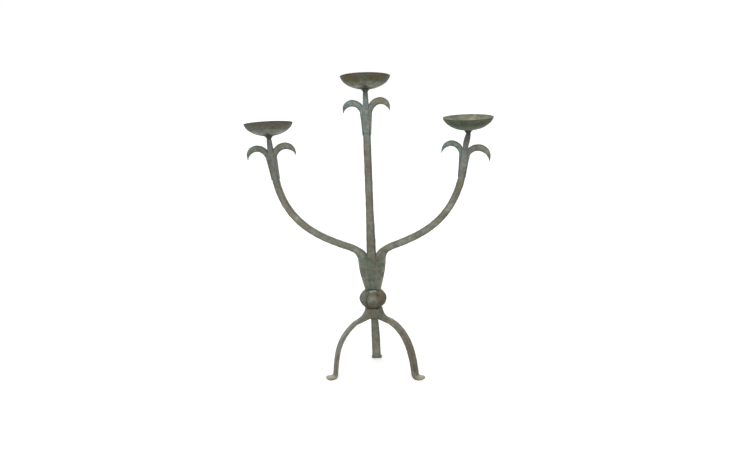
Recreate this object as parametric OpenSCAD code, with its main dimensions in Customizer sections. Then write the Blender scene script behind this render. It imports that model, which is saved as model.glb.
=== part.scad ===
// Three-light candelabrum of hand-forged iron.
// Three square bars are forge-welded side by side into a tapering body. The middle bar runs straight up
// and the outer two sweep out as arms. Each bar ends in a neck between two drooping leaves and carries
// a raised drip pan with a pricket. Below the body a knop is threaded on the middle bar's round tenon,
// which passes through the joined tops of three legs and is peened over underneath.
// Millimetres. The floor is z = 0, the arms spread along X and the back leg points along +Y.

/* [Body and stem] */
// Height of the body, from the knop to where the three bars part
body_h = 48; // [44:0.5:52]
// Half width of the middle bar at the foot of the body
stem_foot_half = 4.3; // [3.7:0.1:5]
// Half width of the middle bar where the bars part
stem_parting_half = 7.3; // [6.8:0.1:7.8]
// Half width of the middle bar above the parting
stem_half = 6; // [5.5:0.1:6.5]
// Height of the stem from the parting to the crotch of its leaves
stem_h = 247.5; // [220:0.5:280]
// Front-to-back half thickness of the bars
bar_half_depth = 6.2; // [5.4:0.1:7]
// Radius of the round tenon through the knop and the legs
tenon_r = 6; // [4:0.5:7]

/* [Arms] */
// Half width of each arm bar along its sweep
left_arm_half = 5.4; // [4.8:0.1:6]
right_arm_half = 5.7; // [4.8:0.1:6]
// How much further out the right arm stands in the body
right_arm_swell = 1.3; // [0:0.1:2]
// How far the weld fills the crotch between the stem and each arm
left_weld_fill = 1.8; // [1:0.1:3]
right_weld_fill = 2.6; // [1:0.1:3]
// Half width of an arm at the foot of the body, before it is let in against the middle bar
arm_foot_half = 4.1; // [3.8:0.1:4.4]
// Half width of an arm at the shoulder of the body
arm_shoulder_half = 7.5; // [7:0.1:8]
// Crotch of each arm's leaves: distance from the stem, and height above the parting
left_crotch = [157.2, 181];
right_crotch = [154.2, 178];
// Outward lean of each arm's head in degrees
left_lean = 7.5; // [4:0.5:11]
right_lean = 8.5; // [5:0.5:12]
// How far each shoulder lies below the parting
left_shoulder_drop = 3; // [1:0.5:5]
right_shoulder_drop = 1; // [0:0.5:4]
// Steering points of each arm's sweep, from its start and back from its end
left_sweep = [[50, 17], [14.6, 70]];
right_sweep = [[48, 17], [18.5, 66]];

/* [Necks and leaves] */
// Height of the stem's neck above the crotch
neck_h = 18.2; // [15:0.1:21]
// Top of each arm's neck: how far it lies outside the crotch, and above it
left_neck = [1.5, 16.5];
right_neck = [4.5, 18.7];
// Half width of a neck where it rises from between the leaves: the stem's and left arm's, the right arm's
neck_half = 4.3; // [3.9:0.1:4.5]
right_neck_half = 4.9; // [4.3:0.1:5]
// Half width of a bar where the leaf roots end
root_high_half = 5.1; // [4.8:0.1:5.4]
// Length of bar below the crotch that the leaf roots cover
root_len = 50; // [40:1:60]
// Front-to-back half thickness of a leaf at its root
leaf_root_half = 5.2; // [4:0.1:5.6]
// Each leaf: how far the tip reaches out, how far it hangs below the crotch, how high the arch rises,
// depth across the arch, half width of the root
stem_left_leaf = [36.2, 12.5, 3, 10.8, 2.2];
stem_right_leaf = [37.2, 10.5, 5.6, 11.4, 2.2];
left_outer_leaf = [40, 10.6, 5.9, 11, 2];
left_inner_leaf = [39.6, 14, 3, 11.6, 1.2];
right_inner_leaf = [35.9, 14.8, 2.2, 9.6, 1.8];
right_outer_leaf = [39.4, 18.6, 0.3, 11, 1.8];

/* [Drip pans] */
// Half axis of the bowl's elliptical profile, across
bowl_half_w = 40.3; // [32:0.1:48]
// Half axis of the bowl's elliptical profile, upright
bowl_half_h = 25; // [20:0.5:30]
// Angle along the ellipse at which the rim is cut
bowl_sweep = 80; // [65:1:85]
// Thickness of the sheet
pan_t = 1.8; // [1.2:0.1:2.4]
// Height of the waisted boss between neck and pan
boss_h = 6; // [4:0.5:8]
// Radius of the boss at the pan
boss_top_r = 7.2; // [6:0.1:8]
// Radius of the boss at the neck
boss_foot_r = 3.6; // [3:0.1:3.8]
// Radius of the shank that rivets pan, boss and neck together
shank_r = 1.6; // [1.2:0.1:1.9]
// Length of shank let into the neck
shank_depth = 8; // [5:0.5:10]
// Thickness of the collar that the pricket's shank is riveted down with
collar_h = 1.6; // [1.2:0.1:2]
// Half width of the spike at its root
spike_r = 3; // [2.2:0.1:3.8]
// Height of the spike's point above the floor of its pan
pricket_h = 15; // [10:0.5:17]
// Tip of each pan in degrees: forwards, then to the right
stem_pan_tilt = [-7.6, -0.2];
left_pan_tilt = [-6.4, -2.2];
right_pan_tilt = [5.2, 0.8];

/* [Knop] */
// Height of the knop between its two flat seats
knop_h = 30.2; // [28:0.1:32]
// Half width of the knop
knop_half_w = 22.2; // [18:0.1:26]
// Half height of the full ball that the seats are cut from
knop_half_h = 17.6; // [17.2:0.1:20]

/* [Legs] */
// Height of the crown where the three legs join, from its seat for the peened end up to the knop
crown_h = 16.8; // [15:0.1:19]
// Height above the floor of the crown's top
crown_top_z = 108.8; // [104:0.1:114]
// Half thickness and half width of a leg's top, where it makes up its share of the crown
crown_half_t = 5.8; // [5.2:0.1:6.4]
crown_half_w = 9.6; // [8.6:0.1:10.6]
// Radius of the crown's round middle, which fills the corners between the legs
crown_hub_r = 12.5; // [11:0.1:14]
// Half width of the leg bar at its ankle
leg_half_w = 7.8; // [7:0.1:8.5]
// Half width of the spread foot
foot_half_w = 9.4; // [8.5:0.1:10]
// Length of the foot from the ankle to the toe
foot_len = 15; // [12:0.5:18]
// Radius of the peened end of the tenon
peen_r = 8.5; // [7.5:0.1:9.5]
// Height of the peened end's dome
peen_h = 3.5; // [2.5:0.1:4.5]
// Reach of a leg's shoulder from the middle, and further reach of the point that steers its arch
shoulder_reach = 31.5; // [28:0.5:34]
arch_reach = 28.5; // [25:0.5:32]
// Height of the point that steers a leg into its ankle
ankle_steer_z = 45; // [35:1:55]
// Directions of the left, right and back legs in degrees
leg_directions = [209, 336, 96];
// Each leg: reach of the ankle, half thickness, half width at the shoulder, drop from the crown's top to
// the shoulder, and further drop of the point that steers the arch
left_leg_bend = [69, 2.3, 6.5, 22.3, 19.5];
right_leg_bend = [73.8, 3.6, 6.5, 19.8, 13.4];
back_leg_bend = [73.5, 2.6, 5.6, 20.8, 15];
// How much the right leg's top stands out in the crown, and how far the back leg stands off to the left
right_crown_swell = 1.2; // [0:0.1:2]
back_leg_offset = 1; // [0:0.1:2]

/* [Hidden] */
$fn = 64;
iron = [0.42, 0.43, 0.39];
leaf_iron = [0.42, 0.49, 0.46];
pan_iron = [0.35, 0.33, 0.26];
knop_iron = [0.38, 0.34, 0.28];
leg_iron = [0.40, 0.39, 0.34];
// Overrun of a cutting shape past what it cuts, and reach of one that cuts off a half space
margin = 1;
far = 200;
// Running room between the rivet shank or tenon and its bore
bore_slip = 0.02;

// Heights that follow from the stack of crown, knop, body and stem
peen_seat_z = crown_top_z - crown_h;
body_bottom_z = crown_top_z + knop_h;
body_top_z = body_bottom_z + body_h;
stem_crotch_z = body_top_z + stem_h;

// The floor centre of the bounding box is the origin, so the stem stands a little in front of it
back_reach = (back_leg_bend[0] + foot_len) * sin(leg_directions[2]);
front_reach = (left_leg_bend[0] + foot_len) * sin(leg_directions[0]) - foot_half_w / 2;
stem_y = -(back_reach + front_reach) / 2;

// Corner bevel of the bars, and the rounder one of the leaves, as a share of the smaller half size
bar_bevel = 0.3;
leaf_bevel = 0.42;
// Height above the parting at which the stem is still wide, and at which it has come down to its width
parting_rise = 28;
taper_rise = 80;
// The bar draws in over this length below the crotch, and by this much again up to the crotch
crotch_drop = 10;
crotch_draw = 0.7;
// The neck draws in again to meet the foot of its boss
neck_tip_half = boss_foot_r + 0.2;

// ---- Curves and swept bars ----

function unit(v) = v / norm(v);

// Point at t on a cubic curve with control points p
function curve_point(p, t) =
    pow(1 - t, 3) * p[0] + 3 * t * pow(1 - t, 2) * p[1]
    + 3 * t * t * (1 - t) * p[2] + pow(t, 3) * p[3];

// Unit heading at t on the same curve
function curve_heading(p, t) =
    unit(pow(1 - t, 2) * (p[1] - p[0]) + 2 * t * (1 - t) * (p[2] - p[1]) + t * t * (p[3] - p[2]));

// Control points of a straight run
function straight(a, b) = [a, a + (b - a) / 3, b - (b - a) / 3, b];

// Stations along a path of curves: place along the path, point and heading
function stations(path, steps) = concat(
    [[0, path[0][0], curve_heading(path[0], 0)]],
    [for (k = [0:len(path) - 1]) for (i = [1:steps[k]])
        [k + i / steps[k], curve_point(path[k], i / steps[k]), curve_heading(path[k], i / steps[k])]]
);

// Corner points of a bar's section, from -a to a + fill across and b deep each way, with corner bevel c
function bar_section(a, fill, b, c) = [
    [a + fill, b - c], [a + fill - c, b], [c - a, b], [-a, b - c],
    [-a, c - b], [c - a, -b], [a + fill - c, -b], [a + fill, c - b]
];

// A bar forged along a path of curves in the XZ plane, with steps stations on each curve. half_w, half_d
// and fill are tables of place and value, and a place counts curves from the start of the path. fill
// is what the side on the left of the path stands out by.
module swept_bar(path, steps, half_w, half_d, fill, bevel) {
    rings = [for (s = stations(path, steps))
        let (a = lookup(s[0], half_w), b = lookup(s[0], half_d))
        [for (q = bar_section(a, lookup(s[0], fill), b, bevel * min(a, b)))
            [s[1][0] - s[2][1] * q[0], q[1], s[1][1] + s[2][0] * q[0]]]];
    n = len(rings[0]);
    last = len(rings) - 1;
    polyhedron(
        points = [for (r = rings) for (p = r) p],
        faces = concat(
            [[for (j = [n - 1:-1:0]) j]],
            [[for (j = [0:n - 1]) last * n + j]],
            [for (i = [0:last - 1]) for (j = [0:n - 1]) for (f = [0, 1])
                let (k = (j + 1) % n)
                f == 0 ? [i * n + j, i * n + k, (i + 1) * n + k]
                       : [i * n + j, (i + 1) * n + k, (i + 1) * n + j]]
        ),
        convexity = 6
    );
}

// An outline in the XZ plane, cut through from front to back
module side_profile(outline) {
    rotate([90, 0, 0]) translate([0, 0, -far / 2]) linear_extrude(far) polygon(outline);
}

// ---- Places ----

module at_stem() {
    translate([0, stem_y, 0]) children();
}

// Frame of a head: its crotch is the origin and z runs up the bar
module at_head(crotch, lean) {
    at_stem() translate([crotch[0], 0, crotch[1]]) rotate([0, lean, 0]) children();
}

// Frame of a pan: at the top of its neck, tipped forwards and to the side
module at_pan(top, tilt) {
    at_stem() translate([top[0], 0, top[1]]) rotate([tilt[0], tilt[1], 0]) children();
}

stem_crotch = [0, stem_crotch_z];
stem_top = [0, stem_crotch_z + neck_h];
left_arm_crotch = left_crotch + [0, body_top_z];
left_arm_top = left_arm_crotch + left_neck;
right_arm_crotch = right_crotch + [0, body_top_z];
right_arm_top = right_arm_crotch + right_neck;

function mirrored(p) = [-p[0], p[1]];

// ---- Bars ----

// Cuts the top of a neck square to its pan and bores it for the shank
module neck_joint(top, tilt) {
    translate([top[0], 0, top[1]]) rotate([tilt[0], tilt[1], 0]) {
        cylinder(h = boss_h, r = 2 * neck_half);
        translate([0, 0, -shank_depth]) cylinder(h = shank_depth + margin, r = shank_r + bore_slip);
    }
}

// Half widths of a head from place u, where the bar has half width low: a taper under the leaf roots,
// then the neck
function head_widths(u, low, neck) = [
    [u, low], [u + 1, root_high_half], [u + 2, root_high_half - crotch_draw],
    [u + 2.3, neck], [u + 2.7, neck - 0.1], [u + 3, neck_tip_half]
];

// Half depths of a head from place u, drawn down to the neck above the leaf roots
function head_depths(u) = [
    [u + 1, bar_half_depth], [u + 2, bar_half_depth - 1.2], [u + 2.4, neck_half], [u + 3, neck_tip_half]
];

module center_stem() {
    path = [
        straight([0, body_bottom_z], [0, body_top_z]),
        straight([0, body_top_z], [0, body_top_z + parting_rise]),
        straight([0, body_top_z + parting_rise], [0, body_top_z + taper_rise]),
        straight([0, body_top_z + taper_rise], [0, stem_crotch_z - root_len]),
        straight([0, stem_crotch_z - root_len], [0, stem_crotch_z - crotch_drop]),
        straight([0, stem_crotch_z - crotch_drop], stem_crotch),
        straight(stem_crotch, stem_top + [0, margin])
    ];
    widths = concat(
        [[0, stem_foot_half], [1, stem_parting_half], [2, stem_parting_half], [3, stem_half]],
        head_widths(4, stem_half, neck_half)
    );
    depths = concat([[0, bar_half_depth - 0.6], [1, bar_half_depth]], head_depths(4));
    color(iron) at_stem() {
        difference() {
            swept_bar(path, [1, 1, 1, 1, 1, 2, 6], widths, depths, [[0, 0]], bar_bevel);
            neck_joint(stem_top, stem_pan_tilt);
        }
        translate([0, 0, peen_seat_z]) cylinder(h = body_bottom_z - peen_seat_z, r = tenon_r);
        peened_end();
    }
}

// Domed end of the tenon, upset under the crown
module peened_end() {
    dome_r = (peen_r * peen_r + peen_h * peen_h) / (2 * peen_h);
    translate([0, 0, peen_seat_z]) intersection() {
        translate([0, 0, -peen_h]) cylinder(h = peen_h, r = peen_r);
        translate([0, 0, dome_r - peen_h]) sphere(r = dome_r);
    }
}

// Arm on the +X side, from the foot of the body to its pan. sweep holds the two steering points, swell
// is how much further out it stands in the body, and fill is what the weld adds in its crotch.
module arm(crotch, lean, top, tilt, shoulder_z, sweep, half, neck, swell, fill) {
    up = [sin(lean), cos(lean)];
    neck_up = unit(top - crotch);
    foot = [stem_foot_half + 3.3 + swell, body_bottom_z];
    shoulder = [stem_parting_half + 6.4 + swell, shoulder_z];
    bend_end = shoulder + [22.3, 25];
    root = crotch - root_len * up;
    root_end = crotch - crotch_drop * up;
    path = [
        [foot, foot + [1.8, 14], shoulder - [0.9, 15], shoulder],
        [shoulder, shoulder + [0.9, 12], shoulder + [6.3, 19.5], bend_end],
        [bend_end, bend_end + sweep[0], root - sweep[1], root],
        straight(root, root_end),
        straight(root_end, crotch),
        [crotch, crotch + neck_h / 3 * up, top - neck_h / 3 * neck_up, top + margin * neck_up]
    ];
    widths = concat(
        [[0, arm_foot_half], [0.33, 0.5 * (arm_foot_half + arm_shoulder_half)],
            [0.67, arm_shoulder_half - 0.3], [1, arm_shoulder_half],
            [1.35, arm_shoulder_half - 0.7], [1.7, half], [2.6, half]],
        head_widths(3, half, neck)
    );
    fills = [[0, fill + 1.3], [1, fill + 1.3], [1.25, fill], [1.5, 0.4 * fill], [1.75, 0]];
    depths = concat([[0, bar_half_depth - 0.7], [1, bar_half_depth - 0.1]], head_depths(3));
    difference() {
        swept_bar(path, [4, 9, 22, 1, 2, 6], widths, depths, fills, bar_bevel);
        stem_recess();
        neck_joint(top, tilt);
    }
}

// The space of the middle bar inside the body, which the arms are welded against
module stem_recess() {
    side_profile([
        [-far, body_bottom_z - margin], [stem_foot_half, body_bottom_z - margin],
        [stem_foot_half, body_bottom_z], [stem_parting_half, body_top_z],
        [stem_parting_half, body_top_z + parting_rise], [-far, body_top_z + parting_rise]
    ]);
}

module left_arm() {
    color(iron) at_stem() mirror([1, 0, 0])
        arm(left_arm_crotch, left_lean, left_arm_top, mirrored_tilt(left_pan_tilt),
            body_top_z - left_shoulder_drop, left_sweep, left_arm_half, neck_half, 0, left_weld_fill);
}

module right_arm() {
    color(iron) at_stem()
        arm(right_arm_crotch, right_lean, right_arm_top, right_pan_tilt,
            body_top_z - right_shoulder_drop, right_sweep, right_arm_half, right_neck_half,
            right_arm_swell, right_weld_fill);
}

function mirrored_tilt(tilt) = [tilt[0], -tilt[1]];

// ---- Leaves ----

// One leaf in its head's frame, growing towards +X. Its root lies against the side of the bar, which has
// half width low under it, and its blade rises, arches over and droops to a point.
module leaf(shape, low, neck) {
    reach = shape[0];
    drop = shape[1];
    rise = shape[2];
    half = shape[3] / 2;
    root = shape[4];
    blade = [root_high_half + root - 0.1, -12];
    // A cubic's top is 3/4 of its steering points' height plus 1/8 of each end's
    lift = (rise + (drop - blade[1]) / 8) * 4 / 3;
    tip_half = 0.5;
    path = [
        straight([low, 2 - root_len], blade),
        [blade, [blade[0] + 1.8, lift], [reach - 1, lift], [reach, -drop]]
    ];
    widths = [[0, tip_half], [0.55, 0.5 * root], [1, root], [1.12, 0.72 * half], [1.25, 0.9 * half],
        [1.5, half], [1.7, 0.86 * half], [1.85, 0.55 * half], [2, tip_half]];
    fills = [[0, 0], [1, 2.5], [1.12, 1.8], [1.25, 0.6], [1.4, 0]];
    depths = [[0, leaf_root_half - 0.6], [1, leaf_root_half], [1.4, leaf_root_half - 1],
        [1.8, leaf_root_half - 2], [2, 0.9]];
    difference() {
        swept_bar(path, [4, 18], widths, depths, fills, leaf_bevel);
        bar_side_recess(low, neck);
    }
}

// The half space of the bar that a leaf root is welded against
module bar_side_recess(low, neck) {
    side_profile([
        [-far, -far], [low, -far], [low, -root_len],
        [root_high_half, -crotch_drop], [root_high_half - crotch_draw, 0], [neck, neck_h / 3],
        [neck, far], [-far, far]
    ]);
}

module stem_leaf_left() {
    color(leaf_iron) at_head(stem_crotch, 0) mirror([1, 0, 0])
        leaf(stem_left_leaf, stem_half, neck_half);
}

module stem_leaf_right() {
    color(leaf_iron) at_head(stem_crotch, 0) leaf(stem_right_leaf, stem_half, neck_half);
}

module left_leaf_outer() {
    color(leaf_iron) at_head(mirrored(left_arm_crotch), -left_lean) mirror([1, 0, 0])
        leaf(left_outer_leaf, left_arm_half, neck_half);
}

module left_leaf_inner() {
    color(leaf_iron) at_head(mirrored(left_arm_crotch), -left_lean)
        leaf(left_inner_leaf, left_arm_half, neck_half);
}

module right_leaf_inner() {
    color(leaf_iron) at_head(right_arm_crotch, right_lean) mirror([1, 0, 0])
        leaf(right_inner_leaf, right_arm_half, right_neck_half);
}

module right_leaf_outer() {
    color(leaf_iron) at_head(right_arm_crotch, right_lean)
        leaf(right_outer_leaf, right_arm_half, right_neck_half);
}

// ---- Pans, bosses and prickets, each in its pan's frame ----

bowl_start = asin(boss_top_r / bowl_half_w);
bowl_steps = 14;

// Outer face of the bowl at angle a of its ellipse, and the inner face one sheet thickness within
function bowl_point(a) =
    [bowl_half_w * sin(a), boss_h + bowl_half_h * (cos(bowl_start) - cos(a))];
function bowl_inside(a) =
    bowl_point(a) + pan_t * unit([-bowl_half_h * sin(a), bowl_half_w * cos(a)]);
function bowl_angle(i) = bowl_start + (bowl_sweep - bowl_start) * i / bowl_steps;

module pan() {
    floor_z = boss_h + pan_t;
    color(pan_iron) rotate_extrude()
        polygon(concat(
            [[shank_r + bore_slip, boss_h]],
            [for (i = [0:bowl_steps]) bowl_point(bowl_angle(i))],
            [for (i = [bowl_steps:-1:1]) bowl_inside(bowl_angle(i))],
            [[boss_top_r + 0.2, floor_z], [shank_r + bore_slip, floor_z]]
        ));
}

module boss() {
    steps = 8;
    waist = [for (i = [0:steps])
        let (f = i / steps)
        [boss_foot_r + (boss_top_r - boss_foot_r) * pow(f, 1.7), boss_h * f]];
    color(pan_iron) rotate_extrude()
        polygon(concat([[shank_r + bore_slip, 0]], waist, [[shank_r + bore_slip, boss_h]]));
}

module pricket() {
    floor_z = boss_h + pan_t;
    shank_end_z = 0.5 - shank_depth;
    collar_r = boss_top_r - 0.8;
    chamfer = 0.6;
    point_r = 0.6;
    color(pan_iron) rotate_extrude()
        polygon([
            [0, shank_end_z], [shank_r, shank_end_z], [shank_r, floor_z], [collar_r, floor_z],
            [collar_r, floor_z + collar_h - chamfer], [collar_r - 2 * chamfer, floor_z + collar_h],
            [spike_r, floor_z + collar_h + 0.4],
            [point_r, floor_z + pricket_h - point_r], [0, floor_z + pricket_h]
        ]);
}

module center_boss() { at_pan(stem_top, stem_pan_tilt) boss(); }
module left_boss() { at_pan(mirrored(left_arm_top), left_pan_tilt) boss(); }
module right_boss() { at_pan(right_arm_top, right_pan_tilt) boss(); }
module center_pan() { at_pan(stem_top, stem_pan_tilt) pan(); }
module left_pan() { at_pan(mirrored(left_arm_top), left_pan_tilt) pan(); }
module right_pan() { at_pan(right_arm_top, right_pan_tilt) pan(); }
module center_pricket() { at_pan(stem_top, stem_pan_tilt) pricket(); }
module left_pricket() { at_pan(mirrored(left_arm_top), left_pan_tilt) pricket(); }
module right_pricket() { at_pan(right_arm_top, right_pan_tilt) pricket(); }

// ---- Knop ----

// Flattened ball with a flat seat above and below, bored for the tenon. Its widest line lies
// a little above the middle.
module knop() {
    lift = 0.4;
    bottom = -knop_h / 2 - lift;
    top = knop_h / 2 - lift;
    first = asin(bottom / knop_half_h);
    last = asin(top / knop_half_h);
    steps = 16;
    profile = [for (i = [0:steps])
        let (a = first + (last - first) * i / steps)
        [knop_half_w * cos(a), knop_half_h * sin(a)]];
    bore = tenon_r + bore_slip;
    color(knop_iron) at_stem() translate([0, 0, crown_top_z - bottom]) rotate_extrude()
        polygon(concat([[bore, bottom]], profile, [[bore, top]]));
}

// ---- Legs ----

// Leg along its direction. Its thick top is its share of the crown round the tenon, from the angle
// before its direction to the angle after it, and its foot turns out flat on the floor. swell is how
// much its top stands out in the crown, and offset how far it stands off to its own left.
module leg(direction, bend, before, after, swell, offset) {
    ankle = bend[0];
    half_t = bend[1];
    shoulder = [shoulder_reach, crown_top_z - bend[3]];
    arch = shoulder + [arch_reach, -bend[4]];
    toe = ankle + foot_len;
    bend_r = 6.5;
    // The foot's middle height is a little under its half thickness, so that its sole is cut flat
    sole = 1.8;
    foot_half_t = 2.3;
    path = [
        [[crown_half_t + 0.5, crown_top_z + margin], [6.5, crown_top_z - 9.8],
            [11, crown_top_z - 14.8], shoulder],
        [shoulder, arch, [ankle - 3.5, ankle_steer_z], [ankle, sole + bend_r]],
        [[ankle, sole + bend_r], [ankle + 0.4, sole + 2.5], [ankle + 2.6, sole], [ankle + bend_r, sole]],
        straight([ankle + bend_r, sole], [toe, sole])
    ];
    widths = [[0, crown_half_t], [0.5, crown_half_t], [0.75, 3.4], [1, half_t + 0.2],
        [1.4, half_t + 0.1], [2, half_t], [2.5, foot_half_t + 0.1], [3, foot_half_t],
        [3.75, foot_half_t - 0.2], [4, foot_half_t - 0.8]];
    depths = [[0, crown_half_w], [0.5, crown_half_w - 0.6], [0.75, leg_half_w - 0.2], [1, bend[2]],
        [1.6, leg_half_w - 0.5], [2.4, leg_half_w], [3, foot_half_w - 0.6], [3.5, foot_half_w],
        [3.8, foot_half_w - 1.4], [4, foot_half_w - 3.9]];
    fills = [[0, swell], [0.5, swell / 2], [0.75, 0]];
    color(leg_iron) at_stem() rotate([0, 0, direction]) difference() {
        union() {
            translate([0, offset, 0]) swept_bar(path, [10, 14, 8, 8], widths, depths, fills, bar_bevel);
            translate([0, 0, peen_seat_z]) cylinder(h = crown_h, r = crown_hub_r);
        }
        translate([-far / 2, -far / 2, -far]) cube([far, far, far]);
        translate([-far / 2, -far / 2, crown_top_z]) cube([far, far, far]);
        cylinder(h = far, r = tenon_r + bore_slip);
        translate([0, 0, peen_seat_z - far]) cylinder(h = far, r = peen_r + margin);
        rotate([0, 0, after]) translate([-far, 0, -far]) cube([2 * far, far, 2 * far]);
        rotate([0, 0, -before]) translate([-far, -far, -far]) cube([2 * far, far, 2 * far]);
    }
}

// Each leg's share of the crown reaches halfway to its neighbours
left_to_right = (leg_directions[1] - leg_directions[0]) / 2;
right_to_back = (leg_directions[2] + 360 - leg_directions[1]) / 2;
back_to_left = (leg_directions[0] - leg_directions[2]) / 2;

module left_leg() { leg(leg_directions[0], left_leg_bend, back_to_left, left_to_right, 0, 0); }
module right_leg() {
    leg(leg_directions[1], right_leg_bend, left_to_right, right_to_back, right_crown_swell, 0);
}
module back_leg() {
    leg(leg_directions[2], back_leg_bend, right_to_back, back_to_left, 0, back_leg_offset);
}

center_stem();
left_arm();
right_arm();
knop();
left_leg();
right_leg();
back_leg();
stem_leaf_left();
stem_leaf_right();
left_leaf_outer();
left_leaf_inner();
right_leaf_inner();
right_leaf_outer();
center_boss();
left_boss();
right_boss();
center_pan();
left_pan();
right_pan();
center_pricket();
left_pricket();
right_pricket();
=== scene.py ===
import math

import bpy
import numpy as np
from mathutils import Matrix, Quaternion, Vector


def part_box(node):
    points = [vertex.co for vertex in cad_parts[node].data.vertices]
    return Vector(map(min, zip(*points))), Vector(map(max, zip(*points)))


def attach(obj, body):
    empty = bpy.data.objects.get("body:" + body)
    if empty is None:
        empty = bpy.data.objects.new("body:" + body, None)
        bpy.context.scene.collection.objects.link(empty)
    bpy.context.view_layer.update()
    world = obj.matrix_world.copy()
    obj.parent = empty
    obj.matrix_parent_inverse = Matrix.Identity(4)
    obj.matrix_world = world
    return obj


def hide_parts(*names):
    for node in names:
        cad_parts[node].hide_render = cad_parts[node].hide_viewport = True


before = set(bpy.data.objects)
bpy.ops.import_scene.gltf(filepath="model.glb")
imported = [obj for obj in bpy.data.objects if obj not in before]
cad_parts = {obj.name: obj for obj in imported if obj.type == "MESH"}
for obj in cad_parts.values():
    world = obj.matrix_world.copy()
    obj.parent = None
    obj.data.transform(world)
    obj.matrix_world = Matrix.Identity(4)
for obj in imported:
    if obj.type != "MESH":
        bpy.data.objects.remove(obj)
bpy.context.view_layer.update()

# ---- View, light and floor ----
# A camera a little to the right of the front and level with the top of the middle bar, held slightly
# off upright. Broad, even daylight falls from the front and above, and a weaker one from behind, over a
# plain white floor.

stem_low, stem_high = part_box("center_stem")
stem_y = (stem_low.y + stem_high.y) / 2

lens = bpy.data.cameras.new("lens")
lens.lens = 43.46
lens.sensor_width = 36
camera = bpy.data.objects.new("camera", lens)
bpy.context.scene.collection.objects.link(camera)
camera_right, camera_out, camera_up = 0.2084, 1.3844, 0.4496
camera.location = (camera_right, stem_y - camera_out, camera_up)
aim = Vector((-0.0063, stem_y - 0.001, 0.2376))
off_upright = math.radians(2.22)
facing = (aim - camera.location).to_track_quat("-Z", "Y")
camera.rotation_euler = (facing @ Quaternion((0, 0, 1), -off_upright)).to_euler()
bpy.context.scene.camera = camera
bpy.context.scene.view_settings.view_transform = "Standard"


def daylight(name, from_side, spread, strength):
    """Even light that comes from a direction, softened over a cone of spread degrees."""
    light = bpy.data.lights.new(name, "SUN")
    light.angle = math.radians(spread)
    light.energy = strength
    lamp = bpy.data.objects.new(name, light)
    lamp.rotation_euler = Vector(from_side).to_track_quat("Z", "Y").to_euler()
    bpy.context.scene.collection.objects.link(lamp)


daylight("key", (0.1, -0.8, 0.75), 70, 1.9)
daylight("back_fill", (-0.5, 0.8, 0.7), 80, 0.6)

world = bpy.data.worlds.new("studio")
bpy.context.scene.world = world
world.use_nodes = True
nodes, links = world.node_tree.nodes, world.node_tree.links
path = nodes.new("ShaderNodeLightPath")
seen = nodes.new("ShaderNodeMath")
seen.operation = "MAXIMUM"
links.new(path.outputs["Is Camera Ray"], seen.inputs[0])
links.new(path.outputs["Is Glossy Ray"], seen.inputs[1])
room = nodes.new("ShaderNodeMix")
room.data_type = "RGBA"
room.inputs["A"].default_value = (0.5, 0.5, 0.5, 1)
room.inputs["B"].default_value = (1, 1, 1, 1)
links.new(seen.outputs[0], room.inputs["Factor"])
links.new(room.outputs["Result"], nodes["Background"].inputs["Color"])

bpy.ops.mesh.primitive_plane_add(size=60, location=(0, 0, 0))
floor = bpy.context.object
floor.name = "floor"
paper = bpy.data.materials.new("white_floor")
paper.use_nodes = True
nodes, links = paper.node_tree.nodes, paper.node_tree.links
matt = nodes["Principled BSDF"]
matt.inputs["Base Color"].default_value = (0.75, 0.75, 0.74, 1)
matt.inputs["Roughness"].default_value = 0.9
matt.inputs["Specular IOR Level"].default_value = 0.1
matt.inputs["Emission Color"].default_value = (1, 1, 1, 1)
path = nodes.new("ShaderNodeLightPath")
lift = nodes.new("ShaderNodeMath")
lift.operation = "MULTIPLY"
lift.inputs[1].default_value = 0.4
links.new(path.outputs["Is Camera Ray"], lift.inputs[0])
links.new(lift.outputs[0], matt.inputs["Emission Strength"])
floor.data.materials.append(paper)

# ---- Middle bar ----
# A square bar forged straight, thickened where the three bars part and drawn down to a round neck
# under its pan. Its round tenon runs down through knop and legs and is peened over underneath.

MM = 0.001
crown_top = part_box("knop")[0].z / MM
body_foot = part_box("knop")[1].z / MM
body_h, stem_h, neck_h = 48, 247.5, 18.2
parting = body_foot + body_h
stem_crotch = parting + stem_h
wide_rise, taper_rise = 28, 80
foot_half, parting_half, stem_half = 4.3, 7.3, 6.0
root_half, crotch_half, neck_half, neck_tip_half = 5.1, 4.4, 4.3, 3.8
root_len, crotch_drop = 50, 10
bar_depth = 6.2
front = -bar_depth
stem_tilt = (-7.6, -0.2)
blow_pitch, blow_sink = 7.5, 0.4
bevel = 0.3


def straight(a, b):
    """Control points of a straight run from a to b."""
    a, b = np.array(a, float), np.array(b, float)
    return [a, a + (b - a) / 3, b - (b - a) / 3, b]


def along_path(path, pitch):
    """Places, points and unit headings along a chain of cubic curves, about one every pitch.

    A point is (1-t)^3 p0 + 3t(1-t)^2 p1 + 3t^2(1-t) p2 + t^3 p3, and a place counts curves."""
    places, points, headings = [], [], []
    for k, control in enumerate(path):
        p = np.array([np.asarray(c, float) for c in control])
        count = max(2, int(round(np.linalg.norm(p[3] - p[0]) / pitch)))
        t = (np.arange(count + 1) if k == 0 else np.arange(1, count + 1))[:, None] / count
        s = 1 - t
        points.append(s ** 3 * p[0] + 3 * t * s ** 2 * p[1] + 3 * t ** 2 * s * p[2] + t ** 3 * p[3])
        headings.append(s ** 2 * (p[1] - p[0]) + 2 * t * s * (p[2] - p[1]) + t ** 2 * (p[3] - p[2]))
        places.append(k + t[:, 0])
    heading = np.concatenate(headings)
    heading /= np.linalg.norm(heading, axis=1)[:, None]
    return np.concatenate(places), np.concatenate(points), heading


def at_places(places, table):
    """Values of a table of (place, value), straight between its entries."""
    return np.interp(places, [row[0] for row in table], [row[1] for row in table])


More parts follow.
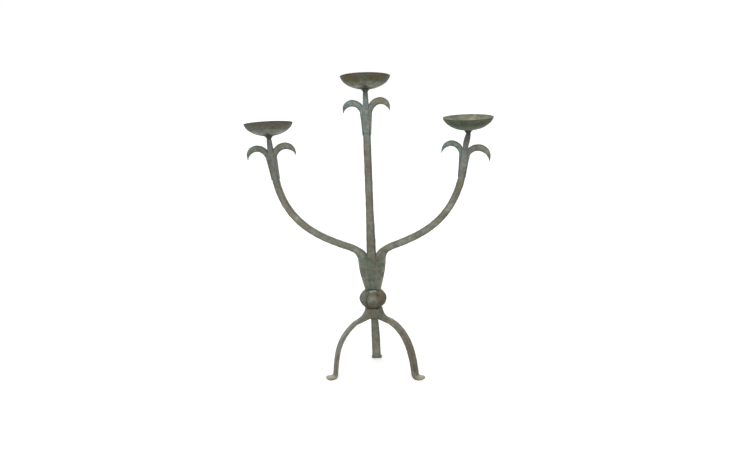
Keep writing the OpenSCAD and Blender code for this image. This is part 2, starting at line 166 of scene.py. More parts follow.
def eased(places, table, spread):
    """The same values, smoothed over a few rows."""
    window = np.hanning(2 * spread + 3)[1:-1]
    padded = np.pad(at_places(places, table), spread, mode="edge")
    return np.convolve(padded, window / window.sum(), mode="valid")


def smooth(values, low, high):
    """0 below low, 1 above high, and 3t^2 - 2t^3 between them."""
    t = np.clip((values - low) / (high - low), 0, 1)
    return t * t * (3 - 2 * t)


def corner_cut(loop, rounds):
    """Rounds off closed loops of points: each side keeps its points at 1/4 and 3/4, over and over."""
    for _ in range(rounds):
        after = np.roll(loop, -1, axis=1)
        loop = np.stack([0.75 * loop + 0.25 * after, 0.25 * loop + 0.75 * after], axis=2)
        loop = loop.reshape(loop.shape[0], -1, loop.shape[-1])
    return loop


def bar_rings(path, half_w, half_d, fill, bevels, pitch=1.1, rounds=3, spread=4):
    """A bar carried along a path in the XZ plane, as rings of points in millimetres.

    Each ring is a rectangle of half width w across the path and half depth d along Y, with its
    corners bevelled by a share of the smaller one and then rounded. Its left side, seen along the
    path, reaches further by fill. The last value is how close a point is to a corner, 0 to 1."""
    place, point, heading = along_path(path, pitch)
    w, d, more = (eased(place, table, spread)[:, None] for table in (half_w, half_d, fill))
    c = at_places(place, bevels)[:, None] * np.minimum(w, d)
    f = w + more
    across = np.concatenate([f, f - c, c - w, -w, -w, c - w, f - c, f], 1)
    deep = np.concatenate([d - c, d, d, d - c, c - d, -d, -d, c - d], 1)
    ring = corner_cut(np.stack([across, deep], 2), rounds)
    x = point[:, :1] - heading[:, 1:] * ring[:, :, 0]
    z = point[:, 1:] + heading[:, :1] * ring[:, :, 0]
    wide = np.abs(ring[:, :, 0] - more / 2) / (w + more / 2)
    corner = smooth(wide, 0.5, 0.95) * smooth(np.abs(ring[:, :, 1]) / d, 0.35, 0.9)
    step = np.linalg.norm(np.diff(point, axis=0), axis=1)
    length = np.concatenate([[0], np.cumsum(step)])
    return np.stack([x, ring[:, :, 1], z], 2), place, length, corner


def scatter(i, j, seed):
    """Two random values from 0 to 1 for each cell (i, j): the fraction of a large sine."""
    a = np.sin(i * 127.1 + j * 311.7 + seed * 74.7) * 43758.5453
    b = np.sin(i * 269.5 + j * 183.3 + seed * 51.3) * 24634.6345
    return a - np.floor(a), b - np.floor(b)


def blows(u, v, wrap, seed):
    """Overlapping round hammer blows, one in each unit cell of (u, v), shifted at random.

    Gives the squared distance to the nearest blow, capped at 1 on the ridges between blows, and
    that blow's own random tone. v starts again after wrap cells."""
    ridge, tone = np.full(u.shape, 9.0), np.zeros(u.shape)
    for side in (-1, 0, 1):
        for over in (-1, 0, 1):
            i, j = np.floor(u) + side, np.floor(v) + over
            a, b = scatter(i, np.mod(j, wrap), seed)
            gap = (i + 0.15 + 0.7 * a - u) ** 2 + (j + 0.15 + 0.7 * b - v) ** 2
            tone = np.where(gap < ridge, (a * 7 + b * 13) % 1, tone)
            ridge = np.minimum(gap, ridge)
    return np.minimum(ridge * 1.5, 1), tone


def outward(points):
    """Unit normals of a grid of rings: the direction along it crossed with the ring's direction."""
    round_it = np.roll(points, -1, axis=1) - np.roll(points, 1, axis=1)
    along = np.gradient(points, axis=0)
    normal = np.cross(along, round_it)
    return normal / np.maximum(np.linalg.norm(normal, axis=2), 1e-9)[:, :, None]


def forged(points, length, pitch, depth, seed, proud=0.0):
    """Sinks hammer blows of a pitch and depth in millimetres into a grid of rings.

    The depth is one value or one for every ring, and the ridges between blows stand proud by a share
    of it. Gives the points, and the marks ridge, tone and along for the material."""
    rows, places = points.shape[:2]
    girth = np.linalg.norm(np.roll(points, -1, axis=1) - points, axis=2).sum(1).mean()
    wrap = max(3, int(round(girth / pitch)))
    u = np.repeat(length[:, None] / pitch, places, 1)
    v = np.repeat(np.arange(places)[None] * wrap / places, rows, 0)
    ridge, tone = blows(u, v, wrap, seed)
    along = np.repeat(length[:, None] / length[-1], places, 1)
    sunk = np.reshape(depth, (-1, 1)) * (1 - ridge - proud)
    return points - outward(points) * sunk[:, :, None], {"ridge": ridge, "tone": tone, "along": along}


def spots(points, places):
    """A mark that is 1 at each place (x, y, z, radius) in mm and fades round it: exp(-d^2)."""
    mark = np.zeros(points.shape[:2])
    for x, y, z, radius in places:
        mark = np.maximum(mark, np.exp(-(((points - [x, y, z]) / radius) ** 2).sum(2)))
    return mark


def skin(name, points, marks, closed_rows=False):
    """A closed mesh over a grid of rings in millimetres, with its marks for the material.

    Quads join each ring to the next. The end rings get flat caps, or join each other. A mark is a
    value for every point, or one for every ring."""
    rows, places = points.shape[:2]
    index = np.arange(rows * places).reshape(rows, places)
    if closed_rows:
        index = np.concatenate([index, index[:1]])
    beside = np.roll(index, -1, axis=1)
    quads = np.stack([index[:-1], index[1:], beside[1:], beside[:-1]], 2).reshape(-1, 4).tolist()
    if not closed_rows:
        quads += [index[0].tolist(), index[-1, ::-1].tolist()]
    mesh = bpy.data.meshes.new(name)
    mesh.from_pydata((points.reshape(-1, 3) * MM).tolist(), [], quads)
    mesh.update()
    for mark, values in marks.items():
        layer = mesh.attributes.new(mark, "FLOAT", "POINT")
        values = np.broadcast_to(values, (rows, places))
        layer.data.foreach_set("value", np.ascontiguousarray(values, np.float32).ravel())
    mesh.shade_smooth()
    piece = bpy.data.objects.new(name, mesh)
    bpy.context.scene.collection.objects.link(piece)
    return piece


def at_stem(points):
    """Moves points from the stem's own axis to where the stem stands."""
    return points + [0, stem_y / MM, 0]


def pan_axes(tilt):
    """Unit axes of a pan's frame, tipped about X and then about Y by angles in degrees."""
    a, b = np.radians(tilt)
    about_x = np.array([[1, 0, 0], [0, np.cos(a), -np.sin(a)], [0, np.sin(a), np.cos(a)]])
    about_y = np.array([[np.cos(b), 0, np.sin(b)], [0, 1, 0], [-np.sin(b), 0, np.cos(b)]])
    return (about_y @ about_x).T


def square_top(points, top, tilt):
    """Trims a neck flat under its pan: what stands above the tipped plane is pressed down to it."""
    axis = pan_axes(tilt)[2]
    over = np.maximum((points - [top[0], 0, top[1]]) @ axis, 0)
    return points - over[:, :, None] * axis


def srgb(red, green, blue):
    """A paint-chart colour, 0 to 255 a channel, as the linear colour that the shader takes."""
    v = np.array([red, green, blue]) / 255
    v = np.where(v <= 0.04045, v / 12.92, ((v + 0.055) / 1.055) ** 2.4)
    return (*v.tolist(), 1)


def make_patina_group():
    """The skin of old forged iron, worked from the marks on the mesh and from noise in the metal.
    A mark that a piece does without counts as 0.

    Oxide lies over the iron in patches and rust in larger ones and where it is marked. Blows have
    tones of their own. Marked edges, seams and undersides are painted dark as shade, along with
    sooty marks. Worn places are pale, and marked places are painted pale as highlights and as light
    thrown up from the floor."""
    group = bpy.data.node_groups.new("forged_patina", "ShaderNodeTree")
    face = group.interface
    for name, kind, value in (
        ("Iron", "NodeSocketColor", (0.15, 0.15, 0.12, 1)),
        ("Oxide", "NodeSocketColor", (0.1, 0.12, 0.1, 1)),
        ("Rust", "NodeSocketColor", (0.12, 0.07, 0.03, 1)),
        # Scale is the dark colour of painted shade on edges, seams and undersides, and of sooty marks.
        ("Scale", "NodeSocketColor", (0.04, 0.04, 0.03, 1)),
        # The pale colour of worn places, painted highlights and painted light from the floor.
        ("Pale Wear And Light", "NodeSocketColor", (0.4, 0.38, 0.33, 1)),
        ("Oxide Amount", "NodeSocketFloat", 0.5),
        ("Rust Amount", "NodeSocketFloat", 0.2),
        ("Edge Shade Amount", "NodeSocketFloat", 0.5),
        ("Patch Size", "NodeSocketFloat", 60.0),
        ("Blow Contrast", "NodeSocketFloat", 0.2),
        ("Dullness", "NodeSocketFloat", 0.5),
    ):
        face.new_socket(name, in_out="INPUT", socket_type=kind).default_value = value
    for name, kind in (("Color", "NodeSocketColor"), ("Roughness", "NodeSocketFloat"),
                       ("Height", "NodeSocketFloat")):
        face.new_socket(name, in_out="OUTPUT", socket_type=kind)
    nodes, links = group.nodes, group.links
    given, out = nodes.new("NodeGroupInput").outputs, nodes.new("NodeGroupOutput").inputs
    place = nodes.new("ShaderNodeTexCoord").outputs["Object"]

    def set_or_link(socket, value):
        if isinstance(value, (int, float, tuple)):
            socket.default_value = value
        else:
            links.new(value, socket)

    def noise(scale, detail, roughness=0.55):
        node = nodes.new("ShaderNodeTexNoise")
        links.new(place, node.inputs["Vector"])
        set_or_link(node.inputs["Scale"], scale)
        node.inputs["Detail"].default_value = detail
        node.inputs["Roughness"].default_value = roughness
        return node.outputs["Fac"]

    def worked(kind, a, b):
        node = nodes.new("ShaderNodeMath")
        node.operation = kind
        set_or_link(node.inputs[0], a)
        set_or_link(node.inputs[1], b)
        return node.outputs[0]

    def between(value, low, high, start=0.0, end=1.0):
        node = nodes.new("ShaderNodeMapRange")
        node.interpolation_type = "SMOOTHSTEP"
        for socket, number in zip(node.inputs, (value, low, high, start, end)):
            set_or_link(socket, number)
        return node.outputs["Result"]

    def mixed(kind, factor, a, b):
        node = nodes.new("ShaderNodeMix")
        node.data_type = "RGBA"
        node.blend_type = kind
        set_or_link(node.inputs["Factor"], factor)
        set_or_link(node.inputs["A"], a)
        set_or_link(node.inputs["B"], b)
        return node.outputs["Result"]

    def mark(name):
        node = nodes.new("ShaderNodeAttribute")
        node.attribute_name = name
        return node.outputs["Fac"]

    patch = between(noise(given["Patch Size"], 4.0, 0.6), 0.42, 0.6)
    cloud = noise(38.0, 5.0, 0.65)
    mottle = noise(190.0, 5.0, 0.7)
    grain = noise(620.0, 4.0, 0.7)
    uneven = between(mottle, 0.34, 0.66)
    ridge = mark("ridge")

    color = mixed("MIX", worked("MULTIPLY", patch, given["Oxide Amount"]), given["Iron"],
                  given["Oxide"])
    warmth = mixed("MIX", between(noise(75.0, 3.0, 0.6), 0.35, 0.65), (0.93, 1.01, 1.05, 1),
                   (1.07, 1.0, 0.94, 1))
    color = mixed("MULTIPLY", 1.0, color, warmth)
    shade = between(mottle, 0.25, 0.75, 0.7, 1.3)
    shade = worked("ADD", shade, between(grain, 0.25, 0.75, -0.1, 0.1))
    tone = worked("SUBTRACT", mark("tone"), 0.5)
    shade = worked("ADD", shade, worked("MULTIPLY", tone, given["Blow Contrast"]))
    crest = worked("MULTIPLY", worked("POWER", ridge, 3.0), given["Blow Contrast"])
    shade = worked("ADD", shade, worked("MULTIPLY", crest, 0.6))
    color = mixed("MULTIPLY", 1.0, color, worked("MAXIMUM", shade, 0.1))
    rust = worked("MULTIPLY", between(cloud, 0.52, 0.68), given["Rust Amount"])
    stained = worked("MULTIPLY", mark("rust"), between(mottle, 0.3, 0.6, 0.55, 1.0))
    rust = worked("MINIMUM", worked("ADD", rust, stained), 1.0)
    color = mixed("MIX", rust, color, given["Rust"])
    # Painted shade: marked edges, seams and undersides darken towards the Scale colour, with sooty
    # marks.
    dark = worked("MULTIPLY", mark("edge"), given["Edge Shade Amount"])
    dark = worked("MULTIPLY", dark, worked("ADD", 0.45, worked("MULTIPLY", uneven, 0.55)))
    dark = worked("MAXIMUM", dark, worked("MULTIPLY", mark("soot_and_shade"), 0.9))
    color = mixed("MIX", dark, color, given["Scale"])
    # Worn places, painted highlights and painted light from the floor turn pale.
    rubbed_and_lit = worked("MULTIPLY", mark("wear_and_painted_light"), between(mottle, 0.3, 0.55, 0.6, 1.0))
    color = mixed("MIX", rubbed_and_lit, color, given["Pale Wear And Light"])
    links.new(color, out["Color"])

    rough = worked("ADD", given["Dullness"], between(grain, 0.2, 0.8, -0.08, 0.1))
    rough = worked("ADD", rough, worked("MULTIPLY", rust, 0.2))
    rough = worked("SUBTRACT", rough, worked("MULTIPLY", rubbed_and_lit, 0.15))
    links.new(rough, out["Roughness"])

    pits = nodes.new("ShaderNodeTexVoronoi")
    links.new(place, pits.inputs["Vector"])
    pits.inputs["Scale"].default_value = 420.0
    height = worked("MULTIPLY", between(pits.outputs["Distance"], 0.0, 0.5), 0.3)
    height = worked("ADD", height, worked("MULTIPLY", mottle, 0.5))
    height = worked("ADD", height, worked("MULTIPLY", grain, 0.3))
    links.new(height, out["Height"])
    return group


patina = make_patina_group()


# scale colours painted shade and sooty marks; the pale colour paints wear and painted light.
def iron_material(name, stops, oxide, rust=(112, 88, 66), scale=(56, 58, 50), wear_and_painted_light=(176, 172, 156),
                  oxide_amount=0.5, rust_amount=0.15, edge_shade_amount=0.7, patch_size=60.0,
                  blow_contrast=0.3, dullness=0.55):
    """Waxed forged iron whose colour changes along the piece, through stops of (share, colour)."""
    material = bpy.data.materials.new(name)
    material.use_nodes = True
    nodes, links = material.node_tree.nodes, material.node_tree.links
    shader = nodes["Principled BSDF"]
    shader.inputs["Metallic"].default_value = 0.1
    shader.inputs["Specular IOR Level"].default_value = 0.3
    along = nodes.new("ShaderNodeAttribute")
    along.attribute_name = "along"
    ramp = nodes.new("ShaderNodeValToRGB")
    ramp.color_ramp.interpolation = "EASE"
    while len(ramp.color_ramp.elements) < len(stops):
        ramp.color_ramp.elements.new(0.5)
    for element, (share, color) in zip(ramp.color_ramp.elements, stops):
        element.position = share
        element.color = srgb(*color)
    links.new(along.outputs["Fac"], ramp.inputs["Fac"])
    coat = nodes.new("ShaderNodeGroup")
    coat.node_tree = patina
    links.new(ramp.outputs["Color"], coat.inputs["Iron"])
    for socket, color in (("Oxide", oxide), ("Rust", rust), ("Scale", scale), ("Pale Wear And Light", wear_and_painted_light)):
        coat.inputs[socket].default_value = srgb(*color)
    coat.inputs["Oxide Amount"].default_value = oxide_amount
    coat.inputs["Rust Amount"].default_value = rust_amount
    coat.inputs["Edge Shade Amount"].default_value = edge_shade_amount
    coat.inputs["Patch Size"].default_value = patch_size
    coat.inputs["Blow Contrast"].default_value = blow_contrast
    coat.inputs["Dullness"].default_value = dullness
    links.new(coat.outputs["Color"], shader.inputs["Base Color"])
    links.new(coat.outputs["Roughness"], shader.inputs["Roughness"])
    bump = nodes.new("ShaderNodeBump")
    bump.inputs["Distance"].default_value = 0.0004
    bump.inputs["Strength"].default_value = 0.7
    links.new(coat.outputs["Height"], bump.inputs["Height"])
    links.new(bump.outputs["Normal"], shader.inputs["Normal"])
    return material


def head_widths(u, low, neck):
    """Half widths of a bar's head from place u: tapering between the leaf roots, then the neck."""
    return [(u, low), (u + 1, root_half), (u + 2, crotch_half), (u + 2.3, neck),
            (u + 2.7, neck - 0.1), (u + 3, neck_tip_half)]


def head_depths(u):
    """Half depths of the same head."""
    return [(u + 1, bar_depth), (u + 2, bar_depth - 1.2), (u + 2.4, neck_half),
            (u + 3, neck_tip_half)]


stem_path = [
    straight((0, body_foot), (0, parting)),
    straight((0, parting), (0, parting + wide_rise)),
    straight((0, parting + wide_rise), (0, parting + taper_rise)),
    straight((0, parting + taper_rise), (0, stem_crotch - root_len)),
    straight((0, stem_crotch - root_len), (0, stem_crotch - crotch_drop)),
    straight((0, stem_crotch - crotch_drop), (0, stem_crotch)),
    straight((0, stem_crotch), (0, stem_crotch + neck_h + 1)),
]
rings, place, length, corner = bar_rings(
    stem_path,
    [(0, foot_half), (1, parting_half), (2, parting_half), (3, stem_half)]
    + head_widths(4, stem_half, neck_half),
    [(0, bar_depth - 0.6), (1, bar_depth)] + head_depths(4),
    [(0, 0)],
    [(0, 0.03), (1.1, 0.03), (1.5, bevel), (4, bevel), (4.5, 0.08), (6, 0.08), (6.3, bevel)],
)
blow_depth = at_places(place, [(0, 0.08), (1, 0.1), (1.6, blow_sink), (4, blow_sink), (4.6, 0.2),
                               (6, 0.2), (6.5, blow_sink)])
rings, marks = forged(rings, length, blow_pitch, blow_depth, 3, proud=0.35)
rings = square_top(rings, (0, stem_crotch + neck_h), stem_tilt)
# Corners are painted dark as shade. A small pale fleck is painted on the front under the leaf roots,
# and the crotch where the arms part, with the weld below it, is painted dark as shade.
edge_share = [(1, 0), (1.3, 0.9), (4, 1), (4.5, 0.1), (6, 0), (6.3, 0.9)]
marks["edge"] = corner * at_places(place, edge_share)[:, None]
marks["wear_and_painted_light"] = 0.5 * spots(rings, [(3.3, front, stem_crotch - 33, 2.5)])
marks["rust"] = 0.3 * spots(rings, [(2, front, parting + 92, 9), (-2, front, parting + 30, 8),
                                    (2, front, parting + 160, 9)])
marks["soot_and_shade"] = 0.3 * spots(rings, [(0, front, parting + 2, 7), (5, front, parting - 20, 4)])
stem = skin("middle_bar", at_stem(rings), marks)
stem.data.materials.append(iron_material(
    "stem_iron",
    [(0, (90, 98, 84)), (0.14, (88, 94, 82)), (0.2, (102, 104, 91)), (0.45, (114, 114, 101)),
     (0.7, (113, 113, 101)), (0.82, (116, 125, 121)), (0.93, (114, 124, 122)), (1, (104, 110, 104))],
    oxide=(98, 94, 82),
))
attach(stem, "root")
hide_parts("center_stem")

# ---- Arms ----
# Square bars like the middle one, forge-welded to its sides at the foot and swept out and up. Each
# swells to a shoulder, bends out and draws down to a round neck that leans outwards.

left_crotch, right_crotch = np.array([157.2, parting + 181]), np.array([154.2, parting + 178])
left_lean, right_lean = 7.5, 8.5
left_top, right_top = left_crotch + [1.5, 16.5], right_crotch + [4.5, 18.7]
left_tilt, right_tilt = (-6.4, -2.2), (5.2, 0.8)
left_half, right_half, right_neck_half = 5.4, 5.7, 4.9
arm_foot_half, arm_shoulder_half = 4.1, 7.5
foot_off, shoulder_off = 3.3, 6.4
bend_out, bend_up = 22.3, 25


def lean_axis(lean):
    """Unit direction in the XZ plane that leans towards +X by an angle in degrees."""
    return np.array([math.sin(math.radians(lean)), math.cos(math.radians(lean))])


def against_middle_bar(points):
    """Presses an arm's inner side flat against the tapering side of the middle bar."""
    side = np.interp(points[:, :, 2], [body_foot, parting], [foot_half, parting_half])
    near = points[:, :, 2] < parting + wide_rise
    x = np.where(near, np.maximum(points[:, :, 0], side), points[:, :, 0])
    return np.stack([x, points[:, :, 1], points[:, :, 2]], 2)


def mirrored(points, marks):
    """The same rings on the other side of the stem, run backwards so that they still face out."""
    return points[:, ::-1] * [-1, 1, 1], {name: values[:, ::-1] for name, values in marks.items()}


def make_arm(name, node, crotch, lean, top, tilt, shoulder_z, swell, half, neck, sweep, weld,
             side, seed, wear_and_painted_light, rust, soot_and_shade, iron):
    """An arm bar worked out on the +X side, and mirrored where side is -1.

    half and neck are half widths, and swell is how much further out it stands in the body. sweep
    holds the two curve handles between bend and head, and weld is how far the crotch is filled."""
    up = lean_axis(lean)
    neck_up = (top - crotch) / np.linalg.norm(top - crotch)
    foot = np.array([foot_half + foot_off + swell, body_foot])
    shoulder = np.array([parting_half + shoulder_off + swell, shoulder_z])
    bend_end = shoulder + [bend_out, bend_up]
    root, root_end = crotch - root_len * up, crotch - crotch_drop * up
    path = [
        [foot, foot + [1.8, 14], shoulder - [0.9, 15], shoulder],
        [shoulder, shoulder + [0.9, 12], shoulder + [6.3, 19.5], bend_end],
        [bend_end, bend_end + sweep[0], root - sweep[1], root],
        straight(root, root_end),
        straight(root_end, crotch),
        [crotch, crotch + neck_h / 3 * up, top - neck_h / 3 * neck_up, top + neck_up],
    ]
    rings, place, length, corner = bar_rings(
        path,
        [(0, arm_foot_half), (0.33, 5.8), (0.67, arm_shoulder_half - 0.3), (1, arm_shoulder_half),
         (1.35, arm_shoulder_half - 0.7), (1.7, half), (2.6, half)] + head_widths(3, half, neck),
        [(0, bar_depth - 0.6), (1, bar_depth)] + head_depths(3),
        [(0, weld + 1.3), (1, weld + 1.3), (1.25, weld), (1.5, 0.4 * weld), (1.75, 0)],
        [(0, 0.16), (1, 0.16), (1.6, bevel), (3, bevel), (3.5, 0.08), (5, 0.08), (5.3, bevel)],
    )
    blow_depth = at_places(place, [(0, 0.12), (1, 0.15), (1.6, blow_sink), (3, blow_sink),
                                   (3.6, 0.2), (5, 0.2), (5.5, blow_sink)])
    rings, marks = forged(rings, length, blow_pitch, blow_depth, seed, proud=0.35)
    rings = against_middle_bar(square_top(rings, top, (tilt[0], side * tilt[1])))
    # Corners are painted dark as shade, and corners in the body are worn pale here and there at random.
    # The listed pale spots are painted highlights, and the listed dark ones are painted shade in
    # crotches and along the welds.
    edge_share = [(0, 0.3), (1, 0.3), (1.5, 1), (3, 1), (3.5, 0.1), (5, 0), (5.3, 0.9)]
    marks["edge"] = corner * at_places(place, edge_share)[:, None]
    in_body = at_places(place, [(0, 0.3), (1.2, 0.3), (1.5, 0)])[:, None]
    marks["wear_and_painted_light"] = corner * in_body * (marks["tone"] > 0.4)
    if side < 0:
        rings, marks = mirrored(rings, marks)
    marks["wear_and_painted_light"] = np.maximum(marks["wear_and_painted_light"], 0.35 * spots(rings, wear_and_painted_light))
    marks["rust"] = 0.35 * spots(rings, rust)
    marks["soot_and_shade"] = 0.4 * spots(rings, soot_and_shade)
    arm = skin(name, at_stem(rings), marks)
    arm.data.materials.append(iron)
    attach(arm, "root")
    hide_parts(node)


make_arm(
    "left_arm_bar", "left_arm", left_crotch, left_lean, left_top, left_tilt,
    shoulder_z=parting - 3, swell=0, half=left_half, neck=neck_half,
    sweep=[[50, 17], [14.6, 70]], weld=1.8, side=-1, seed=5,
    # painted highlights on the shoulder bevel and on the lower face where it twists
    wear_and_painted_light=[(-24.8, front, parting + 17.5, 2.5), (-20.5, front, parting + 15, 2.5),
          (-16.5, front, parting + 11, 2.5), (-14, front, parting + 7, 2.5),
          (-118, front, parting + 72, 3)],
    rust=[(-130.9, front, parting + 86, 8), (-105.8, front, parting + 58, 8)],
    # painted shade in the crotches at the parting and at the head
    soot_and_shade=[(-9, front, parting + 4, 5), (-158, front, parting + 190, 4)],
    iron=iron_material(
        "left_arm_iron",
        [(0, (92, 100, 86)), (0.16, (94, 102, 88)), (0.26, (116, 119, 106)), (0.5, (122, 123, 109)),
         (0.7, (118, 115, 103)), (0.83, (100, 103, 97)), (0.93, (100, 106, 104)),
         (1, (100, 106, 104))],
        oxide=(104, 100, 88),
    ),
)
make_arm(
    "right_arm_bar", "right_arm", right_crotch, right_lean, right_top, right_tilt,
    shoulder_z=parting - 1, swell=1.3, half=right_half, neck=right_neck_half,
    sweep=[[48, 17], [18.5, 66]], weld=2.6, side=1, seed=9,
    # painted highlights on the shoulder bevel and on the lower face where it twists
    wear_and_painted_light=[(11.8, front, parting + 10.5, 2.5), (14.9, front, parting + 13.5, 2.5),
          (127, front, parting + 86, 3), (123, front, parting + 80, 3)],
    rust=[(109.7, front, parting + 66, 7), (144.6, front, parting + 116, 7)],
    # painted shade in the crotches at the parting and at the head, and along the weld below the parting
    soot_and_shade=[(10.5, front, parting + 3, 5), (13, front, parting - 18, 3.5), (12, front, parting - 30, 3),
          (160, front, parting + 195, 4)],
    iron=iron_material(
        "right_arm_iron",
        [(0, (92, 100, 86)), (0.16, (92, 100, 86)), (0.26, (114, 117, 106)), (0.45, (120, 124, 113)),
         (0.6, (114, 114, 102)), (0.74, (108, 108, 94)), (0.86, (110, 114, 106)),
         (0.95, (98, 100, 95)), (1, (84, 86, 82))],
        oxide=(102, 98, 84),
    ),
)

# ---- Leaves ----
# Six blades split off the heads of the bars, or welded to their sides. Each arches over and droops to
# a point. They are thick at the root, hammered thin towards the edges and the tip.

blade_start = -12


def make_leaf(name, crotch, lean, side, low, neck, shape, seed, tones, oxide, rust=(112, 92, 70)):
    """A leaf in its head's own frame, growing towards side, then leant and set at its crotch.

    shape is reach, drop, rise, depth across the arch and half width of the root."""
    reach, drop, rise, depth, root = shape
    blade = np.array([root_half + root - 0.1, blade_start])
    lift = (rise + (drop - blade_start) / 8) * 4 / 3
    half = depth / 2
    path = [
        straight((low, 2 - root_len), blade),
        [blade, [blade[0] + 1.8, lift], [reach - 1, lift], [reach, -drop]],
    ]
    rings, place, length, corner = bar_rings(
        path,
        [(0, 0.3), (0.55, 0.5 * root), (1, root), (1.12, 0.72 * half), (1.25, 0.9 * half),
         (1.5, half), (1.7, 0.86 * half), (1.85, 0.55 * half), (2, 0.3)],
        [(0, 5.9), (0.8, 6.1), (1.1, 5.4), (1.4, 4.2), (1.8, 3.2), (2, 0.5)],
        [(1, 2.5), (1.12, 1.8), (1.25, 0.6), (1.4, 0)],
        [(0, 0.3), (0.9, 0.3), (1.2, 0.5), (2, 0.5)],
        pitch=0.8, rounds=4, spread=2,
    )
    blow_depth = at_places(place, [(0, 0.1), (1, 0.2), (1.3, 0.32)])
    rings, marks = forged(rings, length, 5.5, blow_depth, seed, proud=0.3)
    # The blade edges are painted dark as shade.
    marks["edge"] = corner * at_places(place, [(0.6, 0), (1.15, 0.6), (1.3, 1)])[:, None]
    bar_side = np.interp(rings[:, :, 2], [-root_len, -crotch_drop, 0, neck_h / 3],
                         [low, root_half, crotch_half, neck])
    rings = np.stack([np.maximum(rings[:, :, 0], bar_side), rings[:, :, 1], rings[:, :, 2]], 2)
    if side < 0:
        rings, marks = mirrored(rings, marks)
    up = lean_axis(lean)
    x = crotch[0] + rings[:, :, 0] * up[1] + rings[:, :, 2] * up[0]
    z = crotch[1] - rings[:, :, 0] * up[0] + rings[:, :, 2] * up[1]
    rings = np.stack([x, rings[:, :, 1], z], 2)
    leaf = skin(name + "_blade", at_stem(rings), marks)
    shares = (0, 0.4, 0.55, 0.75, 0.9, 1)
    leaf.data.materials.append(iron_material(
        name + "_iron", list(zip(shares, tones)), oxide, rust=rust, edge_shade_amount=0.85,
        patch_size=80.0, oxide_amount=0.6,
    ))
    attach(leaf, "root")
    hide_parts(name)


teal, grey_green, olive = (112, 126, 122), (112, 119, 107), (116, 117, 102)
slate, tan, umber, sage = (108, 113, 110), (122, 121, 104), (96, 90, 72), (102, 106, 94)
stem_head = (0, stem_crotch)
left_head, right_head = left_crotch * [-1, 1], right_crotch
make_leaf("stem_leaf_left", stem_head, 0, -1, stem_half, neck_half, (36.2, 12.5, 3, 10.8, 2.2), 21,
          [teal, teal, (116, 128, 124), (122, 133, 128), (112, 124, 119), slate], (98, 114, 106))
make_leaf("stem_leaf_right", stem_head, 0, 1, stem_half, neck_half, (37.2, 10.5, 5.6, 11.4, 2.2), 22,
          [teal, slate, (112, 116, 108), olive, tan, umber], (104, 110, 92))
make_leaf("left_leaf_outer", left_head, -left_lean, -1, left_half, neck_half, (40, 10.6, 5.9, 11, 2),
          23, [sage, sage, (98, 104, 93), grey_green, (112, 122, 110), slate], (92, 98, 82))
make_leaf("left_leaf_inner", left_head, -left_lean, 1, left_half, neck_half,
          (39.6, 14, 3, 11.6, 1.2), 24, [slate, (108, 110, 104), olive, olive, sage, slate],
          (100, 98, 84))
make_leaf("right_leaf_inner", right_head, right_lean, -1, right_half, right_neck_half,
          (35.9, 14.8, 2.2, 9.6, 1.8), 25, [sage, (104, 114, 106), (114, 120, 112), (114, 123, 115),
                                            slate, teal], (94, 106, 96))
make_leaf("right_leaf_outer", right_head, right_lean, 1, right_half, right_neck_half,
          (39.4, 18.6, 0.3, 11, 1.8), 26, [slate, slate, (106, 108, 104), (116, 117, 104), tan,
                                           umber], (98, 98, 86))

# ---- Knop ----
# A heavy flattened ball threaded on the tenon, with a flat seat above and below. It is hammered all
# over, and the seam where its ends were lapped runs down the front, left of the middle.

knop_h, knop_w, knop_full, knop_lift = 30.2, 22.2, 17.6, 0.4
knop_z = crown_top + knop_h / 2 + knop_lift
seat_r, tenon_bore = 8, 6.02
lap_direction, lap_width = 112, 1.3


def turned(radius, height, places):
    """Rings of points round Z from a profile: x = r cos a, y = -r sin a, z = h."""
    a = np.arange(places)[None] * 2 * math.pi / places
    r, h = np.asarray(radius)[:, None], np.asarray(height)[:, None]
    return np.stack(np.broadcast_arrays(r * np.cos(a), -r * np.sin(a), h), 2)


def run_length(radius, height):
    """Distance along a profile from its first point."""
    return np.concatenate([[0], np.cumsum(np.hypot(np.diff(radius), np.diff(height)))])


bottom, top = -knop_h / 2 - knop_lift, knop_h / 2 - knop_lift
a = np.linspace(math.asin(bottom / knop_full), math.asin(top / knop_full), 90)
radius = np.concatenate([[tenon_bore, seat_r], knop_w * np.cos(a), [seat_r, tenon_bore]])
height = np.concatenate([[bottom, bottom], knop_full * np.sin(a), [top, top]])
rings = turned(radius, height, 240)
length = run_length(radius, height)
hammered, marks = forged(rings, length, 8, 0.55, 31)
free = smooth(radius, 9, 12)[:, None] * smooth(-np.abs(height), -top, -top + 3)[:, None]
turn = np.degrees(np.arctan2(-rings[:, :, 1], rings[:, :, 0]))
lap = lap_direction - 7 * (height[:, None] / knop_full) ** 2
past = np.radians(turn - lap) * radius[:, None]
seam = np.exp(-(past / lap_width) ** 2)
sunk = 1.1 * seam + 0.7 * smooth(past, -1, 1) * smooth(-past, -14, -2)
rings = rings + (hammered - rings) * free[:, :, None]
rings -= outward(rings) * (sunk * free)[:, :, None]
rings += [0, 0, knop_z]
# Bands by the top and bottom seats, where the ball meets body and crown, are painted dark as shade.
lower = smooth(-height, 10, 13.5)[:, None]
marks["edge"] = np.maximum(0.8 * lower, 0.6 * smooth(height, 12.5, 14.5)[:, None])
# The lapped seam is painted dark, and so is a patch on the upper right front.
marks["soot_and_shade"] = np.maximum(0.85 * seam * free, spots(rings, [(11, -17, knop_z + 9, 4)]))
marks["rust"] = 0.7 * spots(rings, [(18, -12, knop_z + 2, 8), (19, -8, knop_z + 6, 6),
                                    (0, -17, knop_z - 10, 5), (-8, -15, knop_z - 10, 4)])
